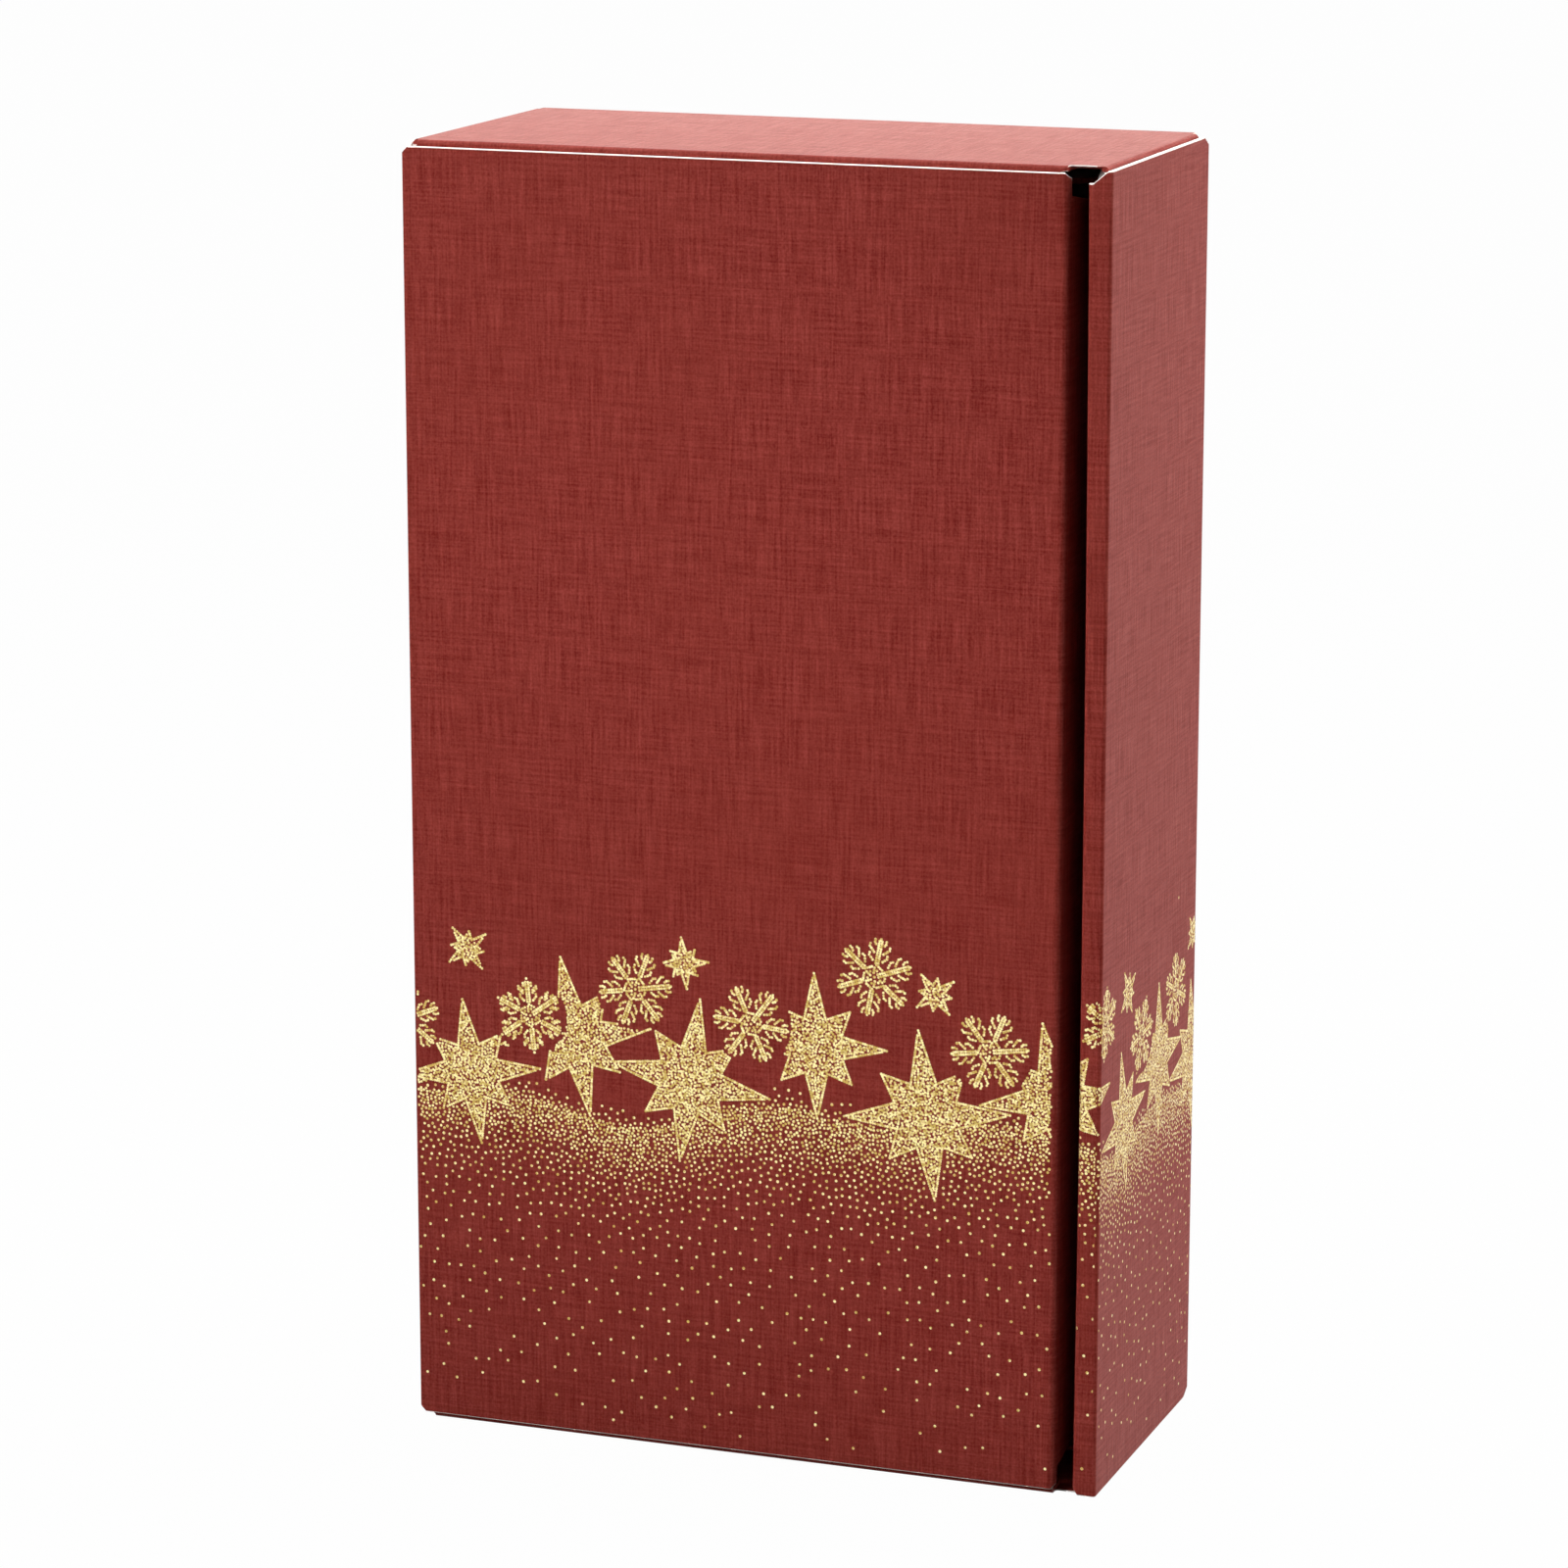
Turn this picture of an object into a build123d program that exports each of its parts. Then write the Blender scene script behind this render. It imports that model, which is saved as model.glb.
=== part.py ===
from build123d import *
import os

# Two-bottle gift carton, standing on its bottom end.
# X runs to the right, Y to the back, Z up. The origin is the centre of the footprint, on the floor.
# One die-cut blank is folded into a tray with a lid on its left side. The right side and both ends
# are rolled over into double walls whose inner layers lock into slots in the back.
# A second folded strip stands between the bottles.

# Outer size and board
WIDTH = 204.0
DEPTH = 95.0
HEIGHT = 370.0
BOARD = 1.5

# Folds, by the radius of their outer face
WALL_FOLD = 2.0
ROLL_FOLD = 1.8
TUCK_FOLD = 2.5

# Double walls and the finger gap between the tuck flap and the right side
DOUBLE_WALL = 7.0
FINGER_GAP = 4.6
STRIP_RECESS = 0.5
LID_SEAT = 0.2

# Notch in the ends beside the right side's roll
NOTCH_SETBACK = 0.4
NOTCH_RIGHT = 5.3
NOTCH_DEEP = 1.2
NOTCH_ROUND = 1.1

# Raw edges stand back from the outer faces of the two ends
WALL_INSET = 0.9
LID_INSET = 1.8
LID_CORNER = 2.0
WALL_CORNER = 2.0
HINGE_CORNER = 3.2
STRIP_DIP_TOP = 3.5
STRIP_DIP_BOTTOM = 1.5
HINGE_CLEARANCE = 0.05

# Tuck flap
TUCK_DEPTH = 40.0
TUCK_MARGIN = 8.0
TUCK_TAPER = 6.0
TUCK_CORNER = 14.0
TUCK_LEAN = 2.0
CREASE_GAP = 0.1

# Corner flaps and locking tabs
CORNER_FLAP_LENGTH = 60.0
CORNER_FLAP_MARGIN = 3.0
CORNER_FLAP_TAPER = 8.0
CORNER_FLAP_ROUND = 6.0
TAB_LENGTH = 40.0
TAB_BEVEL = 1.0
TAB_ROOT = 1.0
TAB_SHORT = 0.2
SLOT_CLEARANCE = 0.2
SIDE_TABS = (-120.0, 0.0, 120.0)
END_TABS = (-52.0, 48.0)
PANEL_CLEARANCE = 0.2
INNER_CORNER = 6.5
END_CORNER = 26.0
INNER_BACK_CORNER = 1.0

# Divider
DIVIDER_CENTRE = -5.0
DIVIDER_WIDTH = 9.0
DIVIDER_FOOT = 22.0
DIVIDER_FOLD = 2.0
DIVIDER_END_GAP = 0.4
DIVIDER_FRONT_GAP = 1.4
DIVIDER_FOOT_CORNER = 5.0

# Faces worked out from the sizes above
LEFT, RIGHT = -WIDTH / 2, WIDTH / 2
FRONT, BACK = -DEPTH / 2, DEPTH / 2
MIDDLE = HEIGHT / 2
LID_INSIDE = FRONT + BOARD
STRIP_FACE = FRONT + STRIP_RECESS
END_STRIP_FACE = LID_INSIDE + LID_SEAT
BACK_INSIDE = BACK - BOARD
TOP_FOLD = HEIGHT - WALL_FOLD
RIGHT_INNER = RIGHT - DOUBLE_WALL
END_INNER = HEIGHT - DOUBLE_WALL
TUCK_OUTSIDE = RIGHT_INNER - FINGER_GAP
TUCK_CREASE = (TUCK_OUTSIDE - TUCK_FOLD, FRONT + TUCK_FOLD)
LID_CREASE = (LEFT + BOARD / 2, FRONT + BOARD / 2)
FLAP_FOLD = RIGHT - BOARD - WALL_FOLD
END_STRIP_RIGHT = TUCK_CREASE[0] - NOTCH_SETBACK


def rectangle(low, high):
    """Face between two corners."""
    width, height = high[0] - low[0], high[1] - low[1]
    return Pos((low[0] + high[0]) / 2, (low[1] + high[1]) / 2) * Rectangle(width, height)


def fold(centre, side, outer):
    """Quarter of a bent sheet round a crease, on the side given by two signs."""
    ring = Circle(outer) - Circle(outer - BOARD)
    quadrant = Pos(side[0] * outer / 2, side[1] * outer / 2) * Rectangle(outer, outer)
    return Pos(*centre) * (ring & quadrant)


def outline(points):
    """Die-cut outline through the points."""
    return make_face(Polyline(*points, close=True))


def along_x(face, low, high):
    """Extrude a Y-Z face."""
    return extrude(Plane.YZ.offset(low) * face, amount=high - low)


def along_y(face, low, high):
    """Extrude an X-Z face."""
    return extrude(Plane.XZ.offset(-high) * face, amount=high - low)


def along_z(face, low, high):
    """Extrude an X-Y face."""
    return extrude(Plane.XY.offset(low) * face, amount=high - low)


def cornered(low, high, cuts):
    """Rectangle whose corners are cut at 45 degrees: lower left, lower right, upper right, upper left."""
    a, b, c, d = cuts
    x0, y0 = low
    x1, y1 = high
    corners = [(x0 + a, y0), (x1 - b, y0), (x1, y0 + b), (x1, y1 - c),
               (x1 - c, y1), (x0 + d, y1), (x0, y1 - d), (x0, y0 + a)]
    kept = [p for i, p in enumerate(corners) if p != corners[i - 1]]
    return outline(kept)


def tab(middle, root, tip):
    """Locking tab in (along, out) coordinates, bevelled at its tip."""
    half = TAB_LENGTH / 2
    return outline([(middle - half, root - TAB_ROOT), (middle + half, root - TAB_ROOT),
                    (middle + half, tip - TAB_BEVEL), (middle + half - TAB_BEVEL, tip),
                    (middle - half + TAB_BEVEL, tip), (middle - half, tip - TAB_BEVEL)])


def to_bottom(solid):
    """The matching panel at the other end."""
    return mirror(solid, about=Plane.XY.offset(MIDDLE))


def back_panel():
    plate = along_y(rectangle((LEFT + WALL_FOLD, WALL_FOLD), (RIGHT - WALL_FOLD, TOP_FOLD)), BACK_INSIDE, BACK)
    reach = TAB_LENGTH / 2 + SLOT_CLEARANCE
    side_low = RIGHT_INNER - SLOT_CLEARANCE
    side_high = RIGHT_INNER + BOARD + SLOT_CLEARANCE
    end_low = END_INNER - SLOT_CLEARANCE
    end_high = END_INNER + BOARD + SLOT_CLEARANCE
    for height in SIDE_TABS:
        slot = rectangle((side_low, MIDDLE + height - reach), (side_high, MIDDLE + height + reach))
        plate -= along_y(slot, BACK_INSIDE, BACK)
    for place in END_TABS:
        slot = along_y(rectangle((place - reach, end_low), (place + reach, end_high)), BACK_INSIDE, BACK)
        plate -= slot
        plate -= to_bottom(slot)
    return plate


def side_outline(front, front_cut=0):
    """Raw-edged side wall, cut back where it turns into the back."""
    cut = WALL_CORNER
    return cornered((front, WALL_INSET), (BACK, HEIGHT - WALL_INSET), (front_cut, cut, cut, front_cut))


def left_side_panel():
    hinge_end = LID_CREASE[1] + BOARD / 2 + HINGE_CLEARANCE
    profile = rectangle((LEFT, hinge_end), (LEFT + BOARD, BACK - WALL_FOLD))
    profile += fold((LEFT + WALL_FOLD, BACK - WALL_FOLD), (-1, 1), WALL_FOLD)
    wall = along_z(profile, 0, HEIGHT)
    return wall & along_x(side_outline(hinge_end, HINGE_CORNER), LEFT, LEFT + WALL_FOLD)


def lid_panel():
    profile = rectangle((LID_CREASE[0], FRONT), (TUCK_CREASE[0], LID_INSIDE))
    profile += Pos(*LID_CREASE) * Circle(BOARD / 2)
    profile += fold(TUCK_CREASE, (1, -1), TUCK_FOLD)
    sheet = along_z(profile, LID_INSET, HEIGHT - LID_INSET)
    cut = LID_CORNER
    shape = cornered((LEFT, LID_INSET), (TUCK_OUTSIDE, HEIGHT - LID_INSET), (cut, cut, cut, cut))
    return sheet & along_y(shape, FRONT, TUCK_CREASE[1])


def tuck_flap():
    root = TUCK_CREASE[1] + CREASE_GAP
    tip = FRONT + TUCK_DEPTH
    low, high = TUCK_MARGIN, HEIGHT - TUCK_MARGIN
    shape = make_face(Polyline((root, low), (tip, low + TUCK_TAPER), (tip, high - TUCK_TAPER), (root, high),
                               close=True))
    shape = fillet(shape.vertices().sort_by(Axis.X)[-2:], TUCK_CORNER)
    flap = along_x(shape, TUCK_OUTSIDE - BOARD, TUCK_OUTSIDE)
    crease = Axis((TUCK_CREASE[0], TUCK_CREASE[1], 0), (0, 0, 1))
    return flap.rotate(crease, TUCK_LEAN)


def right_side_outer_panel():
    front_fold = STRIP_FACE + WALL_FOLD
    profile = rectangle((RIGHT - BOARD, front_fold), (RIGHT, BACK - WALL_FOLD))
    profile += fold((RIGHT - WALL_FOLD, BACK - WALL_FOLD), (1, 1), WALL_FOLD)
    profile += fold((RIGHT - WALL_FOLD, front_fold), (1, -1), WALL_FOLD)
    wall = along_z(profile, 0, HEIGHT)
    return wall & along_x(side_outline(STRIP_FACE), RIGHT - WALL_FOLD, RIGHT)


def right_side_roll_strip():
    turn = RIGHT_INNER + ROLL_FOLD
    outer_edge = RIGHT - WALL_FOLD
    profile = rectangle((turn, STRIP_FACE), (outer_edge, STRIP_FACE + BOARD))
    profile += fold((turn, STRIP_FACE + ROLL_FOLD), (-1, -1), ROLL_FOLD)
    low, high = WALL_INSET, HEIGHT - WALL_INSET
    dipped = [(RIGHT_INNER, low + STRIP_DIP_BOTTOM), (turn, low + STRIP_DIP_BOTTOM), (outer_edge, low),
              (outer_edge, high), (turn, high - STRIP_DIP_TOP), (RIGHT_INNER, high - STRIP_DIP_TOP)]
    sheet = along_z(profile, 0, HEIGHT)
    return sheet & along_y(outline(dipped), STRIP_FACE, STRIP_FACE + ROLL_FOLD)


def right_side_inner_panel():
    fold_line = STRIP_FACE + ROLL_FOLD
    low = BOARD + PANEL_CLEARANCE
    high = HEIGHT - low
    front, back = INNER_CORNER, INNER_BACK_CORNER
    shape = cornered((fold_line, low), (BACK_INSIDE, high), (front, back, back, front))
    panel = along_x(shape, RIGHT_INNER, RIGHT_INNER + BOARD)
    for height in SIDE_TABS:
        lying = tab(MIDDLE + height, BACK_INSIDE, BACK - TAB_SHORT)
        standing = mirror(Rot(0, 0, 90) * lying, about=Plane.YZ)
        panel += along_x(standing, RIGHT_INNER, RIGHT_INNER + BOARD)
    return panel


def end_outer_panel():
    front_fold = END_STRIP_FACE + WALL_FOLD
    profile = rectangle((front_fold, HEIGHT - BOARD), (BACK - WALL_FOLD, HEIGHT))
    profile += fold((BACK - WALL_FOLD, TOP_FOLD), (1, 1), WALL_FOLD)
    profile += fold((front_fold, TOP_FOLD), (-1, 1), WALL_FOLD)
    panel = along_x(profile, -FLAP_FOLD, FLAP_FOLD)
    open_fold = rectangle((END_STRIP_RIGHT, FRONT), (FLAP_FOLD, front_fold))
    notch = rectangle((END_STRIP_RIGHT, front_fold - NOTCH_ROUND), (RIGHT - NOTCH_RIGHT, front_fold + NOTCH_DEEP))
    notch = fillet(notch.vertices().sort_by(Axis.Y)[-2:], NOTCH_ROUND)
    return panel - along_z(open_fold, TOP_FOLD, HEIGHT) - along_z(notch, TOP_FOLD, HEIGHT)


def end_roll_strip():
    turn = END_INNER + ROLL_FOLD
    profile = rectangle((END_STRIP_FACE, turn), (END_STRIP_FACE + BOARD, TOP_FOLD))
    profile += fold((END_STRIP_FACE + ROLL_FOLD, turn), (-1, -1), ROLL_FOLD)
    return along_x(profile, -FLAP_FOLD, END_STRIP_RIGHT)


def end_inner_panel():
    fold_line = END_STRIP_FACE + ROLL_FOLD
    left_edge = LEFT + 2 * BOARD + PANEL_CLEARANCE
    right_edge = RIGHT_INNER - PANEL_CLEARANCE
    shape = cornered((left_edge, fold_line), (right_edge, BACK_INSIDE), (BOARD, END_CORNER, 0, 0))
    panel = along_z(shape, END_INNER, END_INNER + BOARD)
    for place in END_TABS:
        panel += along_z(tab(place, BACK_INSIDE, BACK - TAB_SHORT), END_INNER, END_INNER + BOARD)
    return panel


def corner_flap(side):
    """Flap on an end panel, folded down inside the left or right wall."""
    near, far = side * FLAP_FOLD, side * (RIGHT - BOARD)
    tip = TOP_FOLD - CORNER_FLAP_LENGTH
    plate = rectangle((min(far, far - side * BOARD), tip), (max(far, far - side * BOARD), TOP_FOLD))
    profile = plate + fold((near, TOP_FOLD), (side, 1), WALL_FOLD)
    front, back = END_STRIP_FACE + WALL_FOLD, BACK - WALL_FOLD - CORNER_FLAP_MARGIN
    shape = make_face(Polyline((front, HEIGHT), (front, TOP_FOLD), (front + CORNER_FLAP_TAPER, tip),
                               (back - CORNER_FLAP_TAPER, tip), (back, TOP_FOLD), (back, HEIGHT), close=True))
    shape = fillet(shape.vertices().sort_by(Axis.Y)[:2], CORNER_FLAP_ROUND)
    return along_y(profile, front, back) & along_x(shape, min(near, far), max(near, far))


def divider_parts():
    """Five panels of the folded strip between the bottles, from the left foot to the right."""
    low = DOUBLE_WALL + DIVIDER_END_GAP
    high = HEIGHT - low
    web_left = DIVIDER_CENTRE - DIVIDER_WIDTH / 2
    web_right = DIVIDER_CENTRE + DIVIDER_WIDTH / 2
    face = LID_INSIDE + DIVIDER_FRONT_GAP
    radius = DIVIDER_FOLD
    foot_turn = BACK_INSIDE - radius

    def foot(side, web):
        turn = web + side * (radius - BOARD)
        tip = web + side * DIVIDER_FOOT
        left, right = min(turn, tip), max(turn, tip)
        cut = DIVIDER_FOOT_CORNER
        cuts = (cut, 0, 0, cut) if side < 0 else (0, cut, cut, 0)
        return along_y(cornered((left, low), (right, high), cuts), BACK_INSIDE - BOARD, BACK_INSIDE)

    def web(side, outer):
        inner = outer - side * BOARD
        profile = rectangle((min(outer, inner), face + radius), (max(outer, inner), foot_turn))
        profile += fold((outer + side * (radius - BOARD), foot_turn), (-side, 1), radius)
        profile += fold((outer - side * radius, face + radius), (side, -1), radius)
        return along_z(profile, low, high)

    strip = rectangle((web_left + radius, face), (web_right - radius, face + BOARD))
    return {
        "divider_left_foot": foot(-1, web_left),
        "divider_left_web": web(-1, web_left),
        "divider_front_strip": along_z(strip, low, high),
        "divider_right_web": web(1, web_right),
        "divider_right_foot": foot(1, web_right),
    }


def carton():
    """Every node of the carton by name."""
    nodes = {
        "back_panel": back_panel(),
        "left_side_panel": left_side_panel(),
        "lid_panel": lid_panel(),
        "tuck_flap": tuck_flap(),
        "right_side_outer_panel": right_side_outer_panel(),
        "right_side_roll_strip": right_side_roll_strip(),
        "right_side_inner_panel": right_side_inner_panel(),
    }
    top_end = {
        "end_outer_panel": end_outer_panel(),
        "end_roll_strip": end_roll_strip(),
        "end_inner_panel": end_inner_panel(),
        "left_corner_flap": corner_flap(-1),
        "right_corner_flap": corner_flap(1),
    }
    for name, solid in top_end.items():
        nodes["top_" + name] = solid
        nodes["bottom_" + name] = to_bottom(solid)
    nodes.update(divider_parts())
    return nodes


os.makedirs("parts", exist_ok=True)
for name, shape in carton().items():
    export_step(shape, f"parts/{name}.step")
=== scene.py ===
import math
import bmesh
import bpy
import numpy as np
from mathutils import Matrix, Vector

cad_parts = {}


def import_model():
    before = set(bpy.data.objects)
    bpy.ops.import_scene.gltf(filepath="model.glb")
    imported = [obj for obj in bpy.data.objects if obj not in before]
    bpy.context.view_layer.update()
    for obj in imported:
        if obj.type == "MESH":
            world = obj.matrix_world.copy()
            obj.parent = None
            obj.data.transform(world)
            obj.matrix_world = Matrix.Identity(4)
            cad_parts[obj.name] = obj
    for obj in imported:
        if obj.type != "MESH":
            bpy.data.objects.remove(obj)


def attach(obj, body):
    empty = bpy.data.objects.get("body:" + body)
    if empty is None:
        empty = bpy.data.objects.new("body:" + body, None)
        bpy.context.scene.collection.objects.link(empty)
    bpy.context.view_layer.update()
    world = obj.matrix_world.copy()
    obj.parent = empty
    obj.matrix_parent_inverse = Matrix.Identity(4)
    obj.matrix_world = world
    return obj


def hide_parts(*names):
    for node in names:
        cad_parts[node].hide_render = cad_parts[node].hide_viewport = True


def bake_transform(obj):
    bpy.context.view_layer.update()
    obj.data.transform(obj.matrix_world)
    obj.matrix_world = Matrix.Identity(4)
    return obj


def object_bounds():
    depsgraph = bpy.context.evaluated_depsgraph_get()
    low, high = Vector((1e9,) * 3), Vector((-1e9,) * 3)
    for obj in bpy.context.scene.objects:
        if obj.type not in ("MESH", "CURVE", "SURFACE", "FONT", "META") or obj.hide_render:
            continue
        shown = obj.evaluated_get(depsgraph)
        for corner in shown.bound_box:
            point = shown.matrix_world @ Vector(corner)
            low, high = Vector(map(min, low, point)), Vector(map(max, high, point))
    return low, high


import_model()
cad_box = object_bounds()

# Two-bottle gift carton, folded from one printed blank, with a second folded strip as its divider.
# Lengths are in millimetres and become metres where a mesh is made.
MM = 0.001
WIDTH = 204.0
DEPTH = 95.0
HEIGHT = 370.0
BOARD = 1.5
LEFT, RIGHT = -WIDTH / 2, WIDTH / 2
FRONT, BACK = -DEPTH / 2, DEPTH / 2
LID_INSIDE = FRONT + BOARD
BACK_INSIDE = BACK - BOARD
LAYER_ROOM = 0.2  # between an inner layer and what it lies against
PRINT_RISE = 0.04  # the gold stands this proud of the board, and the board stands back by it
OUT_LEFT = LEFT + PRINT_RISE
OUT_BACK, OUT_FRONT = BACK - PRINT_RISE, FRONT + PRINT_RISE

# Creases
WALL_FOLD = 2.0
ROLL_FOLD = 1.8
TUCK_FOLD = 2.5
SHARP_FOLD = 1.0
LID_FOLD = 0.75
LID_FOLD_INSIDE = 0.3
CRUSH = 0.2  # radius left inside a crease whose inner corner is crushed
CREASE_STEPS = 10
LEAD = 0.4  # flat stretch kept on each side of a crease, so that its shading runs into the panel
RAW_BEVEL = 0.26
FOLD_RIGHT = RIGHT - WALL_FOLD
FOLD_BACK = BACK - WALL_FOLD
FOLD_TOP = HEIGHT - WALL_FOLD

# Right side and its roll
STRIP_FACE = -47.0
STRIP_BACK = STRIP_FACE + ROLL_FOLD
RIGHT_INNER = 95.0
ROLL_TURN = RIGHT_INNER + ROLL_FOLD
WALL_INSET = 0.9
BACK_CUT_DEEP = 5.5
BACK_CUT_HIGH = 3.0
INNER_BITE = 10.0
STRIP_DIP_TOP = 3.5
STRIP_DIP_START = 100.7
STRIP_DIP_RUN = 4.3
BOW = 0.7
BOW_START = -20.0
BOW_RUN = 25.0
BOW_ROWS = [30.0 * k + 5.0 for k in range(1, 12)]

# Lid and tuck flap
LID_INSET = 1.8
CORNER_CUT = 2.0
HINGE_LINE = LID_INSIDE + 0.1  # where the left side ends and the lid begins
HINGE_CUT = 3.2
TUCK_OUTSIDE = 90.4
TUCK_CREASE = (TUCK_OUTSIDE - TUCK_FOLD, FRONT + TUCK_FOLD)
TUCK_EDGE_CUT = 1.4
TUCK_DEPTH = 37.5
TUCK_MARGIN = 8.0
TUCK_TAPER = 6.0
TUCK_CORNER = 14.0
TUCK_LEAN = 2.0  # degrees
TUCK_SHADE_PRINT = 20.0  # the flap's cut ends carry the dark print this far from its crease, as painted shade in the slot

# Ends and their corner flaps
END_STRIP_FACE = -45.8
END_STRIP_BACK = END_STRIP_FACE + ROLL_FOLD
END_STRIP_RIGHT = 87.5
END_FOLD = END_STRIP_FACE + WALL_FOLD
END_INNER = 363.0
END_INNER_CUT = 26.0
END_START = 20.0  # place on the blank where an end's sheets begin
FLAP_FOLD = 98.5
FLAP_BACK = FOLD_BACK - 3.0
FLAP_SLIT = 0.4  # between a corner flap and the wall beside it
FLAP_LENGTH = 60.0
FLAP_TAPER = 8.0
FLAP_CORNER = 6.0
# corner flaps' cut front ends carry the dark print this far from their fold, as painted shade
FLAP_SHADE_PRINT = 4.5
NOTCH_LEFT = 89.2
NOTCH_RIGHT = RIGHT - 5.3
NOTCH_BACK = END_FOLD + 1.2
NOTCH_CORNER = 1.1
# Heights of the notch punch's four rims, and how much wider it is there
NOTCH_LEVELS = ((HEIGHT + 1.0, 0.0), (HEIGHT - 0.42, 0.0), (HEIGHT - 0.5, 5.0), (HEIGHT - 3.0, 5.0))
INNER_SHADE_PRINT_LEFT = 66.0  # the ends carry the dark print inside, as painted shade seen through the gap, to the right of this and in front of the next
INNER_SHADE_PRINT_BACK = -14.0
INNER_SHADE_PRINT_STOP = 5.0

# Locking tabs and their slots in the back
TAB_PLACES_SIDE = (65.0, 185.0, 305.0)
TAB_PLACES_END = (-52.0, 48.0)
TAB_HALF = 20.0
TAB_OUT = 1.3  # the tabs reach this far into the slots
SLOT_ROOM = 0.2
SLOT_HALF = TAB_HALF + SLOT_ROOM

# Divider
DIVIDER_END = 7.4
DIVIDER_LEFT, DIVIDER_RIGHT = -9.5, -0.5
DIVIDER_FACE = -44.6
DIVIDER_BACK = 44.0
DIVIDER_FOLD = 2.0
FOOT_FOLD = 0.5
FOOT_LENGTH = 22.0
FOOT_CORNER = 5.0

# Distances along the blank, from the right side's inner edge round to the tuck flap
BLANK = {"inner": 0.0, "strip": 93.0, "right": 97.0, "back": 190.0, "left": 392.0, "lid": 487.0,
         "tuck": 677.0}

# Material slots of a sheet
PRINTED_SIDE, PLAIN_SIDE, CUT_EDGE = 0, 1, 2


# Materials
def add(tree, kind, settings=None, **inputs):
    """Node with its settings and inputs given. An input is a value or another node's output."""
    node = tree.nodes.new(kind)
    for key, value in (settings or {}).items():
        setattr(node, key, value)
    for key, value in inputs.items():
        place = int(key[1:]) if key[0] == "i" and key[1:].isdigit() else key.replace("_", " ")
        socket = node.inputs[place]
        if isinstance(value, bpy.types.NodeSocket):
            tree.links.new(value, socket)
        else:
            socket.default_value = value
    return node


def new_material(name):
    material = bpy.data.materials.new(name)
    material.use_nodes = True
    tree = material.node_tree
    tree.nodes.clear()
    return material, tree


def finish_material(tree, shader):
    output = tree.nodes.new("ShaderNodeOutputMaterial")
    tree.links.new(shader, output.inputs["Surface"])


def srgb(red, green, blue):
    """Linear colour from the 0 to 255 values seen on a screen."""
    def linear(value):
        value /= 255
        return value / 12.92 if value <= 0.04045 else ((value + 0.055) / 1.055) ** 2.4

    return (linear(red), linear(green), linear(blue), 1.0)


def noise(tree, place, scale, detail=2.0, roughness=0.5, shift=(0, 0, 0)):
    """Noise with a scale of its own in each direction."""
    mapped = add(tree, "ShaderNodeMapping", Vector=place, Scale=scale, Location=shift).outputs["Vector"]
    return add(tree, "ShaderNodeTexNoise", Vector=mapped, Scale=1.0, Detail=detail,
               Roughness=roughness).outputs["Fac"]


def sheet_place(tree):
    return add(tree, "ShaderNodeUVMap", {"uv_map": "sheet"}).outputs["UV"]


def object_place(tree):
    return add(tree, "ShaderNodeTexCoord").outputs["Object"]


def embossed(tree, height, strength, depth):
    return add(tree, "ShaderNodeBump", Strength=strength, Distance=depth, Height=height).outputs["Normal"]


def spread(tree, value, low, high, to_low=0.0, to_high=1.0):
    """Map a value's range onto another, clamped."""
    node = add(tree, "ShaderNodeMapRange", i0=value, i1=low, i2=high, i3=to_low, i4=to_high)
    node.clamp = True
    return node.outputs["Result"]


def math_node(tree, operation, first, second):
    return add(tree, "ShaderNodeMath", {"operation": operation}, i0=first, i1=second).outputs["Value"]


def total(tree, first, second):
    return math_node(tree, "ADD", first, second)


def product(tree, first, second):
    return math_node(tree, "MULTIPLY", first, second)


def blend_colours(tree, factor, first, second, mode="MIX"):
    node = add(tree, "ShaderNodeMix", {"data_type": "RGBA", "blend_type": mode})
    sockets = {s.identifier: s for s in node.inputs}
    for key, value in (("Factor_Float", factor), ("A_Color", first), ("B_Color", second)):
        if isinstance(value, bpy.types.NodeSocket):
            tree.links.new(value, sockets[key])
        else:
            sockets[key].default_value = value
    return next(s for s in node.outputs if s.identifier == "Result_Color")


def finish_surface(tree, **looks):
    finish_material(tree, add(tree, "ShaderNodeBsdfPrincipled", **looks).outputs["BSDF"])


def linen_printed_board():
    """Dark red print on coated board, embossed with an irregular linen of raised threads."""
    material, tree = new_material("linen_printed_board")
    place = sheet_place(tree)
    across = noise(tree, place, (1250, 60, 1), 3.0, 0.65)
    along = noise(tree, place, (55, 1150, 1), 3.0, 0.65, (7, 3, 0))
    patches = spread(tree, noise(tree, place, (60, 60, 1), 3.0, shift=(2, 5, 0)), 0.35, 0.65)
    upright = product(tree, spread(tree, across, 0.32, 0.7), spread(tree, patches, 0, 1, 0.55, 0.75))
    lying = product(tree, spread(tree, along, 0.34, 0.7), spread(tree, patches, 0, 1, 0.52, 0.34))
    threads = total(tree, upright, lying)
    grain = noise(tree, place, (1500, 1300, 1))
    relief = total(tree, threads, product(tree, grain, 0.3))
    # The raised threads are painted paler, a painted sheen on them, and the grain varies the tone at random.
    grain_and_painted_sheen = total(tree, product(tree, threads, 0.7), product(tree, grain, 0.8))
    clouds = noise(tree, place, (9, 9, 1), 3.0, shift=(1, 8, 0))
    tone = blend_colours(tree, spread(tree, grain_and_painted_sheen, 0.43, 1.13), srgb(106, 22, 17), srgb(152, 65, 57))
    tone = blend_colours(tree, spread(tree, clouds, 0.3, 0.7, 0.0, 0.35), tone, srgb(124, 44, 34))
    finish_surface(tree, Base_Color=tone, Roughness=spread(tree, relief, 0.3, 1.1, 0.5, 0.4), IOR=1.18,
                   Specular_Tint=(1.0, 0.93, 0.82, 1.0), Normal=embossed(tree, relief, 0.32, 0.00022))
    return material


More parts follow.
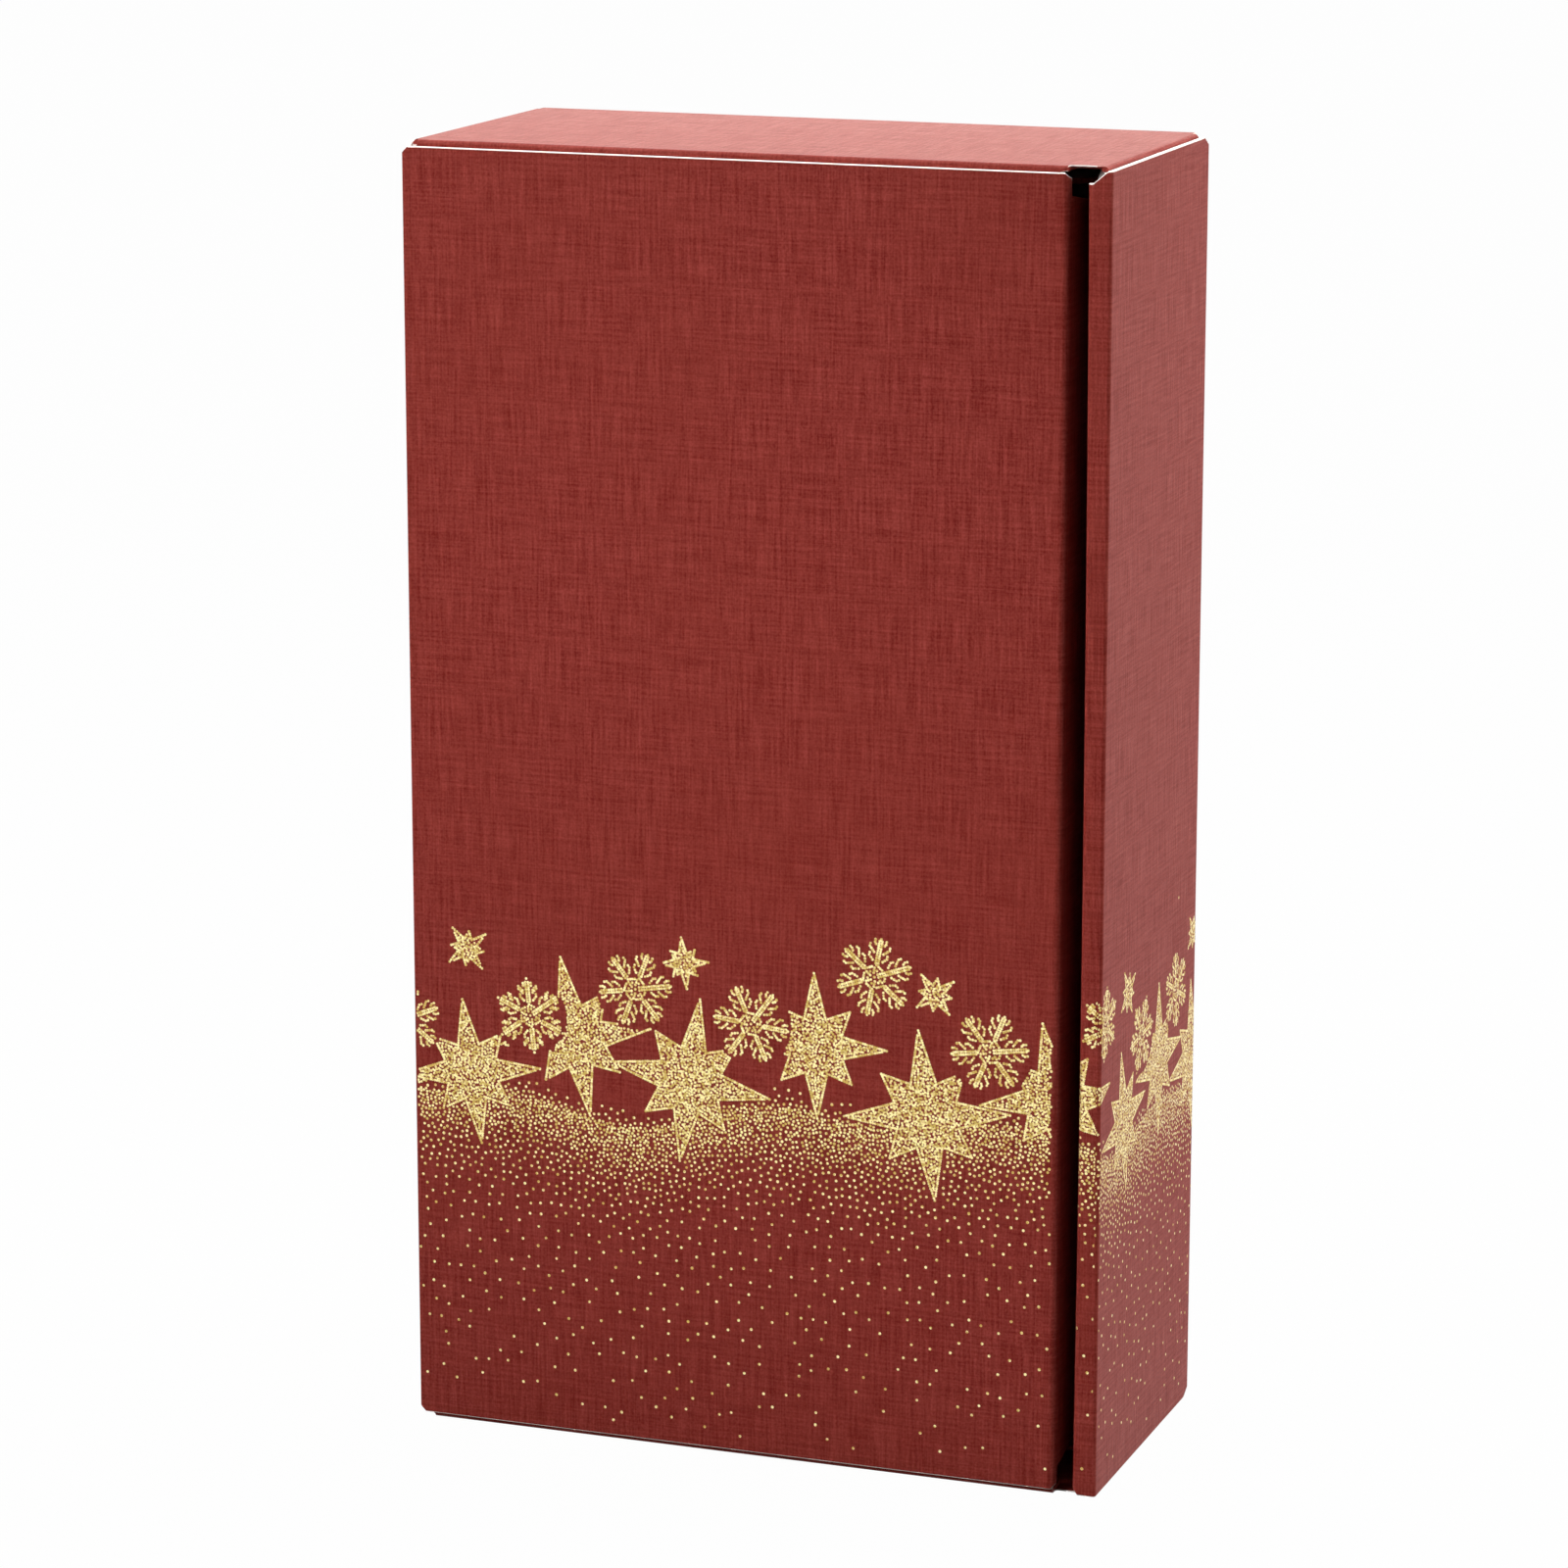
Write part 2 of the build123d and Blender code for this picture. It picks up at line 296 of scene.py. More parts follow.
def white_liner():
    """Plain white inside of the board, with faint fibres."""
    material, tree = new_material("white_liner")
    place = sheet_place(tree)
    fibres = noise(tree, place, (900, 380, 1), 4.0, 0.7)
    clouds = noise(tree, place, (22, 22, 1), 3.0)
    flutes = add(tree, "ShaderNodeTexWave", {"bands_direction": "X"}, Scale=130.0, Distortion=0.6,
                 Vector=place).outputs["Fac"]
    tone = blend_colours(tree, spread(tree, fibres, 0.35, 0.7), srgb(222, 219, 212), srgb(236, 234, 229))
    tone = blend_colours(tree, spread(tree, clouds, 0.35, 0.7, 0.0, 0.4), tone, srgb(226, 221, 210))
    height = total(tree, fibres, product(tree, flutes, 0.3))
    finish_surface(tree, Base_Color=tone, Roughness=0.78, Normal=embossed(tree, height, 0.18, 0.00015))
    return material


def raw_core():
    """White core of the board, seen at its die-cut edges."""
    material, tree = new_material("raw_core")
    place = object_place(tree)
    fibres = noise(tree, place, (1500, 1500, 1500), 3.0, 0.7)
    crush = noise(tree, place, (160, 160, 160))
    tone = blend_colours(tree, spread(tree, fibres, 0.35, 0.7), srgb(226, 214, 206), srgb(246, 240, 236))
    tone = blend_colours(tree, spread(tree, crush, 0.45, 0.75, 0.0, 0.5), tone, srgb(232, 205, 196))
    finish_surface(tree, Base_Color=tone, Roughness=0.85, Normal=embossed(tree, fibres, 0.4, 0.0001))
    return material


def gold_foil():
    """Gold of the stamped dots, which catch the light unevenly on the linen."""
    material, tree = new_material("gold_foil")
    glints = noise(tree, object_place(tree), (900, 900, 900), 1.0)
    tone = blend_colours(tree, spread(tree, glints, 0.38, 0.62), srgb(204, 172, 88), srgb(255, 240, 176))
    finish_surface(tree, Base_Color=tone, Metallic=0.75, Roughness=spread(tree, glints, 0.3, 0.7, 0.5, 0.3),
                   Normal=embossed(tree, glints, 0.35, 0.0003))
    return material


PRINTED = linen_printed_board()
LINER = white_liner()
CORE = raw_core()
GOLD = gold_foil()


# Folded sheets
def new_object(name, data):
    made = bpy.data.objects.new(name, data)
    bpy.context.scene.collection.objects.link(made)
    return made


def flat(start, end, stops=()):
    """Flat stretch of a sheet in section, as pairs of points on its two faces.
    The printed face is on the right-hand side of the way from start to end."""
    way = Vector(end) - Vector(start)
    length = way.length
    way.normalize()
    inward = Vector((-way.y, way.x)) * BOARD
    marks = sorted({0.0, length, *[s for s in stops if 0 < s < length]})
    return [(Vector(start) + way * m, Vector(start) + way * m + inward) for m in marks]


def pointing(degrees):
    angle = math.radians(degrees)
    return Vector((math.cos(angle), math.sin(angle)))


def rotated(x, y, angle):
    return x * math.cos(angle) - y * math.sin(angle), x * math.sin(angle) + y * math.cos(angle)


def on_circle(middle, radius, degrees):
    turn = math.radians(degrees)
    return (middle[0] + radius * math.cos(turn), middle[1] + radius * math.sin(turn))


def crease(centre, radius, start, end):
    """Bent stretch of a sheet round a crease line. The printed face turns from the angle start to end, in
    degrees. It is outside the bend where the angle grows, and inside it where the angle falls."""
    inner = radius - BOARD if end > start else radius + BOARD
    rays = [pointing(start + (end - start) * i / CREASE_STEPS) for i in range(CREASE_STEPS + 1)]
    return [(Vector(centre) + ray * radius, Vector(centre) + ray * inner) for ray in rays]


def sharp_crease(corner, radius, start, end):
    """Crease with a crushed inside, tighter than the board is thick. corner is where the outer faces meet."""
    first, last = pointing(start), pointing(end)
    root = Vector(corner) - (first + last) * (BOARD + CRUSH)
    heart = Vector(corner) - (first + last) * radius
    outer = [root + first * (BOARD + CRUSH)]
    outer += [heart + pointing(start + (end - start) * i / CREASE_STEPS) * radius
              for i in range(CREASE_STEPS + 1)]
    outer.append(root + last * (BOARD + CRUSH))
    turns = [start + (end - start) * i / (len(outer) - 1) for i in range(len(outer))]
    return [(p, root + pointing(a) * CRUSH) for p, a in zip(outer, turns)]


def section(*stretches):
    """Join the stretches of a sheet in section, dropping the points that they share."""
    joined = []
    for stretch in stretches:
        for pair in stretch:
            if not joined or (pair[0] - joined[-1][0]).length > 0.01:
                joined.append(pair)
    return joined


def folded_sheet(name, pairs, low, high, axes="xyz", slots=(), free=(False, False), start=0.0, rows=(),
                 faces=None, warp=None, raw_low=None, raw_high=None):
    """Board swept along a section between its two cut ends.

    low and high give the cut ends at a point of the section, slots are (from, to, low, high) openings along
    the section, free says which ends of the section are raw edges and not creases, raw_low and raw_high say
    where the cut ends are raw, and start is the distance along the blank where the section begins."""
    faces = faces or (PRINTED, LINER, CORE)
    along = [0.0]
    for before, after in zip(pairs, pairs[1:]):
        step = max((after[0] - before[0]).length, (after[1] - before[1]).length * 0.5)
        along.append(along[-1] + step)
    marks = sorted({m for s in slots for m in s[2:]} | set(rows))
    columns = len(pairs)
    levels = []
    for outer, inner in pairs:
        first, last = low(*outer), high(*outer)
        levels.append([first] + [min(max(m, first), last) for m in marks] + [last])
    count = len(levels[0])
    order = ["xyz".index(a) for a in axes]

    def world(point, level):
        spot = [0.0, 0.0, 0.0]
        for axis, value in zip(order, (point.x, point.y, level)):
            spot[axis] = value
        if warp:
            spot = warp(*spot)
        return Vector(spot) * MM

    mesh = bmesh.new()
    uv = mesh.loops.layers.uv.new("sheet")
    weight = mesh.edges.layers.float.new("bevel_weight_edge")
    grid = [[[mesh.verts.new(world(pair[side], levels[i][j])) for j in range(count)]
             for i, pair in enumerate(pairs)] for side in (0, 1)]
    turned = order in ([0, 2, 1], [2, 1, 0], [1, 0, 2])

    def skin(corners, spots, material):
        if turned:
            corners, spots = corners[::-1], spots[::-1]
        face = mesh.faces.new(corners)
        face.smooth = True
        face.material_index = material
        for loop, spot in zip(face.loops, spots):
            loop[uv].uv = ((start + spot[0]) * MM, spot[1] * MM)
        return face

    def solid(i, j):
        if not (0 <= i < columns - 1 and 0 <= j < count - 1):
            return False
        middle = (along[i] + along[i + 1]) / 2
        height = (levels[i][j] + levels[i][j + 1] + levels[i + 1][j] + levels[i + 1][j + 1]) / 4
        if max(levels[i][j + 1] - levels[i][j], levels[i + 1][j + 1] - levels[i + 1][j]) < 0.01:
            return False
        return not any(s[0] < middle < s[1] and s[2] < height < s[3] for s in slots)

    for i in range(columns - 1):
        for j in range(count - 1):
            if not solid(i, j):
                continue
            corners = [(i, j), (i + 1, j), (i + 1, j + 1), (i, j + 1)]
            spots = [(along[a], levels[a][b]) for a, b in corners]
            skin([grid[0][a][b] for a, b in corners], spots, PRINTED_SIDE)
            skin([grid[1][a][b] for a, b in corners][::-1], spots[::-1], PLAIN_SIDE)
            middle = (pairs[i][0] + pairs[i + 1][0]) / 2
            below = j > 0 or raw_low is None or raw_low(*middle)
            above = j < count - 2 or raw_high is None or raw_high(*middle)
            walls = (((0, 1), (i, j - 1), below), ((1, 2), (i + 1, j), i + 1 < columns - 1 or free[1]),
                     ((2, 3), (i, j + 1), above), ((3, 0), (i - 1, j), i > 0 or free[0]))
            for (first, second), neighbour, raw in walls:
                if solid(*neighbour):
                    continue
                a, b = corners[first], corners[second]
                ring = [grid[0][a[0]][a[1]], grid[1][a[0]][a[1]], grid[1][b[0]][b[1]], grid[0][b[0]][b[1]]]
                face = skin(ring, [spots[first]] * 2 + [spots[second]] * 2, CUT_EDGE)
                if raw:
                    for edge in face.edges:
                        if set(edge.verts) in ({ring[0], ring[3]}, {ring[1], ring[2]}):
                            edge[weight] = 1.0
    data = bpy.data.meshes.new(name)
    mesh.to_mesh(data)
    mesh.free()
    for material in faces:
        data.materials.append(material)
    piece = new_object(name, data)
    rounding = piece.modifiers.new("raw_edges", "BEVEL")
    rounding.width = RAW_BEVEL * MM
    rounding.segments = 2
    rounding.limit_method = "WEIGHT"
    rounding.material = CUT_EDGE
    return settle(piece)


def settle(piece, crisp=14):
    """Turn a piece and its modifiers into a plain mesh. Edges that turn by over crisp degrees stay crisp."""
    bpy.context.view_layer.update()
    shape = piece.evaluated_get(bpy.context.evaluated_depsgraph_get())
    data = bpy.data.meshes.new_from_object(shape)
    piece.modifiers.clear()
    piece.data = data
    data.name = piece.name
    data.set_sharp_from_angle(angle=math.radians(crisp))
    return piece


def print_as_painted_shade(piece, chosen, kind=CUT_EDGE):
    """Give the faces of one kind that chosen points the dark printed skin, as painted shade where the real
    board shows white liner or cut core in the shade of a gap, so that no white shows through the gap."""
    for face in piece.data.polygons:
        if face.material_index == kind and chosen(*(face.center / MM)):
            face.material_index = PRINTED_SIDE
    return piece


def panel(piece, node, body):
    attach(piece, body)
    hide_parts(node)
    return piece


def constant(value):
    return lambda x, y: value


def never(x, y):
    return False


def outward(pairs):
    return [(p - q).normalized() for p, q in pairs]


def set_back(pairs):
    """Move a section's printed face in by the rise of the gold that is stamped on it."""
    return [(p - n * PRINT_RISE, q) for (p, q), n in zip(pairs, outward(pairs))]


def corner_levels(along_first, cut, end, inset):
    """Cut ends of a panel whose corners are cut at 45 degrees where one coordinate reaches end."""
    def bite(x, y):
        return max(0.0, cut - abs((x if along_first else y) - end))

    return (lambda x, y: inset + bite(x, y)), (lambda x, y: HEIGHT - inset - bite(x, y))


def gaps_between_tabs(places, low, high, start, stop):
    """Openings beside the tabs at these places, from start to stop along the section."""
    ends = [low] + [m for place in places for m in (place - TAB_HALF, place + TAB_HALF)] + [high]
    return [(start, stop, ends[k], ends[k + 1]) for k in range(0, len(ends), 2)]


def flap_edge(run, length, taper, corner):
    """How far a flap's edge has come in at run from its crease: it tapers, and ends in a round corner."""
    past = run - (length - corner)
    rounding = corner - math.sqrt(max(0.0, corner ** 2 - past ** 2)) if past > 0 else 0.0
    return taper * run / length + rounding


# The tray
def back_panel():
    first = FOLD_RIGHT - LEAD
    spots = [first - (RIGHT_INNER + BOARD + SLOT_ROOM), first - (RIGHT_INNER - SLOT_ROOM)]
    slots = [(*spots, z - SLOT_HALF, z + SLOT_HALF) for z in TAB_PLACES_SIDE]
    high = END_INNER + BOARD + SLOT_ROOM
    low = END_INNER - SLOT_ROOM
    for place in TAB_PLACES_END:
        near, far = first - (place + SLOT_HALF), first - (place - SLOT_HALF)
        spots += [near, far]
        slots += [(near, far, low, high), (near, far, HEIGHT - high, HEIGHT - low)]
    pairs = flat((first, OUT_BACK), (-first, OUT_BACK), spots)
    return folded_sheet("back_board", pairs, constant(WALL_FOLD + LEAD), constant(HEIGHT - WALL_FOLD - LEAD),
                        slots=slots, start=BLANK["back"], raw_low=never, raw_high=never)


def part_of_way(value):
    return min(1.0, max(0.0, value))


def strip_dip(x):
    """How far the cut ends of the roll have sunk at x, from 0 at the side's fold to 1 where it turns in."""
    return part_of_way((STRIP_DIP_START - x) / STRIP_DIP_RUN)


def right_side():
    def back_cut(y):
        return BACK_CUT_HIGH * max(0.0, 1 - (BACK - y) / BACK_CUT_DEEP)

    def low(x, y):
        return WALL_INSET + back_cut(y)

    def high(x, y):
        return HEIGHT - WALL_INSET - back_cut(y) - (STRIP_DIP_TOP * strip_dip(x) if y < 0 else 0.0)

    flat_start = STRIP_FACE + BOARD + CRUSH
    pairs = set_back(section(
        flat((FOLD_RIGHT - LEAD, STRIP_FACE), (FOLD_RIGHT, STRIP_FACE)),
        sharp_crease((RIGHT, STRIP_FACE), SHARP_FOLD, 270, 360),
        flat((RIGHT, flat_start), (RIGHT, FOLD_BACK), [BACK - BACK_CUT_DEEP - flat_start]),
        crease((FOLD_RIGHT, FOLD_BACK), WALL_FOLD, 0, 90),
        flat((FOLD_RIGHT, BACK), (FOLD_RIGHT - LEAD, BACK))))
    return folded_sheet("right_side_outer_board", pairs, low, high, start=BLANK["right"])


def left_side():
    square_low, square_high = corner_levels(False, CORNER_CUT, BACK, WALL_INSET)

    def bite(y):
        return max(0.0, HINGE_CUT - (y - HINGE_LINE))

    pairs = set_back(section(
        flat((-FOLD_RIGHT + LEAD, BACK), (-FOLD_RIGHT, BACK)),
        crease((-FOLD_RIGHT, FOLD_BACK), WALL_FOLD, 90, 180),
        flat((LEFT, FOLD_BACK), (LEFT, HINGE_LINE), [FOLD_BACK - HINGE_LINE - HINGE_CUT])))
    return folded_sheet("left_side_board", pairs, lambda x, y: square_low(x, y) + bite(y),
                        lambda x, y: square_high(x, y) - bite(y), start=BLANK["left"])


def strip_bow(x, y, z):
    """The roll's free edge gives a little half way up, where nothing holds it."""
    inwards = part_of_way((FOLD_RIGHT - x) / (FOLD_RIGHT - RIGHT_INNER))
    forwards = part_of_way((BOW_START - y) / BOW_RUN)
    return (x + BOW * inwards * forwards * (1 - (2 * z / HEIGHT - 1) ** 2), y, z)


def roll_strip():
    pairs = set_back(section(
        flat((RIGHT_INNER, STRIP_BACK + LEAD), (RIGHT_INNER, STRIP_BACK)),
        crease((ROLL_TURN, STRIP_BACK), ROLL_FOLD, 180, 270),
        flat((ROLL_TURN, STRIP_FACE), (FOLD_RIGHT - LEAD, STRIP_FACE))))
    return folded_sheet("right_side_roll_board", pairs,
                        lambda x, y: WALL_INSET + max(0.0, ROLL_TURN - x),
                        lambda x, y: HEIGHT - WALL_INSET - STRIP_DIP_TOP * strip_dip(x),
                        start=BLANK["strip"], rows=BOW_ROWS, warp=strip_bow)


def right_inner():
    inset = BOARD + LAYER_ROOM
    stops = [TAB_OUT, TAB_OUT + 1.0, 68.0, 74.0, 82.0, 86.0]  # beside the tabs, and where the roll bows

    def bite(y):
        return max(0.0, INNER_BITE - (y - STRIP_BACK))

    pairs = flat((RIGHT_INNER, BACK_INSIDE + TAB_OUT), (RIGHT_INNER, STRIP_BACK + LEAD), stops)
    return folded_sheet("right_side_inner_board", pairs, lambda x, y: inset + bite(y),
                        lambda x, y: HEIGHT - inset - bite(y), free=(True, False), start=BLANK["inner"],
                        rows=BOW_ROWS, warp=strip_bow,
                        slots=gaps_between_tabs(TAB_PLACES_SIDE, 0.0, HEIGHT, 0.0, TAB_OUT))


def lid():
    turn = (OUT_LEFT + LID_FOLD, OUT_FRONT + LID_FOLD)
    inner_turn = (LEFT + BOARD + LID_FOLD_INSIDE, LID_INSIDE + LID_FOLD_INSIDE)
    pairs = [((OUT_LEFT, HINGE_LINE), (LEFT + BOARD, HINGE_LINE)),
             ((OUT_LEFT, turn[1]), (LEFT + BOARD, LID_INSIDE + 0.05))]
    for i in range(1, CREASE_STEPS):
        angle = 180 + 90 * i / CREASE_STEPS
        pairs.append((on_circle(turn, LID_FOLD, angle), on_circle(inner_turn, LID_FOLD_INSIDE, angle)))
    pairs.append(((turn[0], OUT_FRONT), (inner_turn[0], LID_INSIDE)))
    pairs += [((stop, OUT_FRONT), (stop, LID_INSIDE)) for stop in (LEFT + CORNER_CUT, TUCK_CREASE[0] - LEAD)]
    pairs = [(Vector(p), Vector(q)) for p, q in pairs]
    low, high = corner_levels(True, CORNER_CUT, LEFT, LID_INSET)

    def loose(x, y):
        return x > LEFT + BOARD

    return folded_sheet("lid_board", pairs, low, high, start=BLANK["lid"], raw_low=loose, raw_high=loose)


def tuck():
    low = corner_levels(True, TUCK_EDGE_CUT, TUCK_OUTSIDE, LID_INSET)[0]
    pivot = Vector(TUCK_CREASE)
    lean = math.radians(TUCK_LEAN)
    marks = [0.6, 1.2]  # close to the crease, so that its shading ends there
    marks += [TUCK_DEPTH - TUCK_CORNER + TUCK_CORNER * math.sin(math.radians(a)) for a in range(0, 91, 9)]

    def leaned(point):
        return pivot + Vector(rotated(*(point - pivot), lean))

    def end_cut(x, y):
        run = y - TUCK_CREASE[1]
        if run <= 0.05:
            return low(x, y)
        return TUCK_MARGIN + flap_edge(run, TUCK_DEPTH, TUCK_TAPER, TUCK_CORNER)

    bend = set_back(section(flat((TUCK_CREASE[0] - LEAD, FRONT), (TUCK_CREASE[0], FRONT)),
                            crease(TUCK_CREASE, TUCK_FOLD, 270, 360))[:-1])
    flap = set_back(flat((TUCK_OUTSIDE, TUCK_CREASE[1]), (TUCK_OUTSIDE, TUCK_CREASE[1] + TUCK_DEPTH), marks))
    cuts = [end_cut(*p) for p, q in bend] + [end_cut(p.x, max(p.y, TUCK_CREASE[1] + 0.1)) for p, q in flap]
    pairs = bend + [(leaned(p), leaned(q)) for p, q in flap]
    table = {tuple(p): c for (p, q), c in zip(pairs, cuts)}
    piece = folded_sheet("tuck_flap_board", pairs, lambda x, y: table[(x, y)],
                         lambda x, y: HEIGHT - table[(x, y)], free=(False, True), start=BLANK["tuck"])
    # The flap's cut ends near the crease get the dark print, as painted shade in the slot beside the roll.
    return print_as_painted_shade(piece, lambda x, y, z: TUCK_CREASE[1] < y < TUCK_CREASE[1] + TUCK_SHADE_PRINT)


panel(back_panel(), "back_panel", "tray")
panel(right_side(), "right_side_outer_panel", "tray")
panel(left_side(), "left_side_panel", "tray")
panel(roll_strip(), "right_side_roll_strip", "tray")
panel(right_inner(), "right_side_inner_panel", "tray")

lid_piece = lid()
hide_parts("lid_panel")
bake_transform(lid_piece)
tuck_piece = tuck()
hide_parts("tuck_flap")
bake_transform(tuck_piece)


# The two ends
def cut_notch(piece, mirrored):
    """Punch the notch beside the right side's roll. The die crushes the board there to a thin upper lip."""
    corners = (((NOTCH_LEFT + NOTCH_CORNER, NOTCH_BACK - NOTCH_CORNER), range(180, 89, -15)),
               ((NOTCH_RIGHT - NOTCH_CORNER, NOTCH_BACK - NOTCH_CORNER), range(90, -1, -15)))
    points = []
    for level, give in NOTCH_LEVELS:
        rim = [(NOTCH_LEFT, FRONT - 1.0)]
        for middle, angles in corners:
            for x, y in (on_circle(middle, NOTCH_CORNER, angle) for angle in angles):
                rim.append((x + (give if x > NOTCH_LEFT + NOTCH_CORNER + 0.1 else 0.0), y + give))
        rim.append((NOTCH_RIGHT + give, FRONT - 1.0))
        points += [Vector((x, y, HEIGHT - level if mirrored else level)) * MM for x, y in rim]
    count = len(rim)
    faces = [list(range(count)), list(range(3 * count, 4 * count))[::-1]]
    for k in range(3):
        for i in range(count):
            j = (i + 1) % count
            faces.append([k * count + j, k * count + i, (k + 1) * count + i, (k + 1) * count + j])
    data = bpy.data.meshes.new("notch")
    data.from_pydata(points, [], faces)
    data.materials.append(CORE)
    data.materials.append(PRINTED)
    for face in data.polygons[2 + count:]:  # below the lip the notch's faces carry the dark print, as painted shade
        face.material_index = 1
    shape = bmesh.new()
    shape.from_mesh(data)
    bmesh.ops.recalc_face_normals(shape, faces=shape.faces)
    shape.to_mesh(data)
    shape.free()
    punch = new_object("notch", data)
    cut = piece.modifiers.new("notch", "BOOLEAN")
    cut.operation = "DIFFERENCE"
    cut.solver = "MANIFOLD"
    cut.material_mode = "TRANSFER"
    cut.object = punch
    settle(piece)
    bpy.data.objects.remove(punch)
    left_end = LEAD - FLAP_FOLD + 0.5
    # The raw faces at the notch's right and at the left end's front get the dark print, as painted shade.
    print_as_painted_shade(piece, lambda x, y, z: (x > NOTCH_RIGHT - 0.1 or x < left_end) and y < END_FOLD + 0.1)
    # The liner inside the end near the gap gets the dark print too, as painted shade seen through the gap.
    return print_as_painted_shade(piece, lambda x, y, z: x > INNER_SHADE_PRINT_LEFT and y < INNER_SHADE_PRINT_BACK, PLAIN_SIDE)


def upended(name, pairs, low, high, mirrored, free=(False, False), axes="yzx", **cuts):
    """A panel of an end. The bottom end is the top one turned over."""
    piece = folded_sheet(("bottom_" if mirrored else "top_") + name, pairs, low, high, axes=axes, free=free,
                         start=END_START, **cuts)
    if mirrored:
        for vertex in piece.data.vertices:
            vertex.co.z = HEIGHT * MM - vertex.co.z
        piece.data.flip_normals()
    return piece


def end_outer(mirrored):
    front_flat = END_STRIP_FACE + BOARD + CRUSH
    pairs = set_back(section(
        flat((BACK, FOLD_TOP - LEAD), (BACK, FOLD_TOP)),
        crease((FOLD_BACK, FOLD_TOP), WALL_FOLD, 0, 90),
        flat((FOLD_BACK, HEIGHT), (front_flat, HEIGHT), [FOLD_BACK - INNER_SHADE_PRINT_BACK, FOLD_BACK - END_FOLD]),
        sharp_crease((END_STRIP_FACE, HEIGHT), SHARP_FOLD, 90, 180),
        flat((END_STRIP_FACE, HEIGHT - BOARD - CRUSH), (END_STRIP_FACE, FOLD_TOP - LEAD))))

    def right_edge(y, z):
        if y > END_FOLD - 0.01:
            return FLAP_FOLD - LEAD
        return NOTCH_LEFT + 1.0 if z > HEIGHT - SHARP_FOLD - 0.05 else END_STRIP_RIGHT

    def loose(y, z):
        return y > FLAP_BACK or y < END_FOLD

    piece = upended("end_outer_board", pairs, constant(LEAD - FLAP_FOLD), right_edge, mirrored,
                    raw_low=loose, raw_high=loose, rows=(INNER_SHADE_PRINT_LEFT,))
    return cut_notch(piece, mirrored)


def end_strip(mirrored):
    turn = END_INNER + ROLL_FOLD
    pairs = set_back(section(
        flat((END_STRIP_FACE, FOLD_TOP - LEAD), (END_STRIP_FACE, turn)),
        crease((END_STRIP_BACK, turn), ROLL_FOLD, 180, 270),
        flat((END_STRIP_BACK, END_INNER), (END_STRIP_BACK + LEAD, END_INNER))))
    return upended("end_roll_board", pairs, constant(-FLAP_FOLD), constant(END_STRIP_RIGHT), mirrored)


def end_inner(mirrored):
    left_edge = LEFT + 2 * BOARD + LAYER_ROOM
    right_edge = RIGHT_INNER - LAYER_ROOM
    length = BACK_INSIDE + TAB_OUT - END_STRIP_BACK - LEAD
    pairs = flat((END_STRIP_BACK + LEAD, END_INNER), (BACK_INSIDE + TAB_OUT, END_INNER),
                 [BOARD, END_INNER_CUT, length - TAB_OUT])

    def left(y, z):
        return left_edge + max(0.0, BOARD - (y - END_STRIP_BACK))

    def right(y, z):
        return right_edge - max(0.0, END_INNER_CUT - (y - END_STRIP_BACK))

    piece = upended("end_inner_board", pairs, left, right, mirrored, (False, True),
                    slots=gaps_between_tabs(TAB_PLACES_END, LEFT, RIGHT, length - TAB_OUT, length))
    # Its cut edges near the gap get the dark print, as painted shade.
    return print_as_painted_shade(piece, lambda x, y, z: x > INNER_SHADE_PRINT_LEFT and y < BACK_INSIDE - INNER_SHADE_PRINT_STOP)


def corner_flap(side, mirrored):
    radius = WALL_FOLD - FLAP_SLIT
    fold_level = HEIGHT - radius
    outer = FLAP_FOLD + radius
    tip = fold_level - FLAP_LENGTH
    marks = [FLAP_CORNER * (1 - math.cos(math.radians(a))) for a in range(15, 91, 15)]
    if side > 0:
        pairs = section(
            flat((outer, tip), (outer, fold_level), marks),
            crease((FLAP_FOLD, fold_level), radius, 0, 90),
            flat((FLAP_FOLD, HEIGHT), (FLAP_FOLD - LEAD, HEIGHT)))
    else:
        pairs = section(
            flat((-FLAP_FOLD + LEAD, HEIGHT), (-FLAP_FOLD, HEIGHT)),
            crease((-FLAP_FOLD, fold_level), radius, 90, 180),
            flat((-outer, fold_level), (-outer, tip), [FLAP_LENGTH - m for m in marks]))

    def inward(z):
        return flap_edge(max(0.0, fold_level - z), FLAP_LENGTH, FLAP_TAPER, FLAP_CORNER)

    piece = upended(("right" if side > 0 else "left") + "_corner_flap_board", set_back(pairs),
                    lambda x, z: END_FOLD + inward(z), lambda x, z: FLAP_BACK - inward(z), mirrored,
                    (side > 0, side < 0), axes="xzy")
    # The flap's front cut end near the fold gets the dark print, as painted shade.
    shade_print_from = HEIGHT - 2 * FLAP_SHADE_PRINT
    return print_as_painted_shade(piece, lambda x, y, z: y < END_FOLD + 0.2 and abs(2 * z - HEIGHT) > shade_print_from)


for mirrored in (False, True):
    end = "bottom_" if mirrored else "top_"
    panel(end_outer(mirrored), end + "end_outer_panel", "tray")
    panel(end_strip(mirrored), end + "end_roll_strip", "tray")
    panel(end_inner(mirrored), end + "end_inner_panel", "tray")
    panel(corner_flap(-1, mirrored), end + "left_corner_flap", "tray")
    panel(corner_flap(1, mirrored), end + "right_corner_flap", "tray")


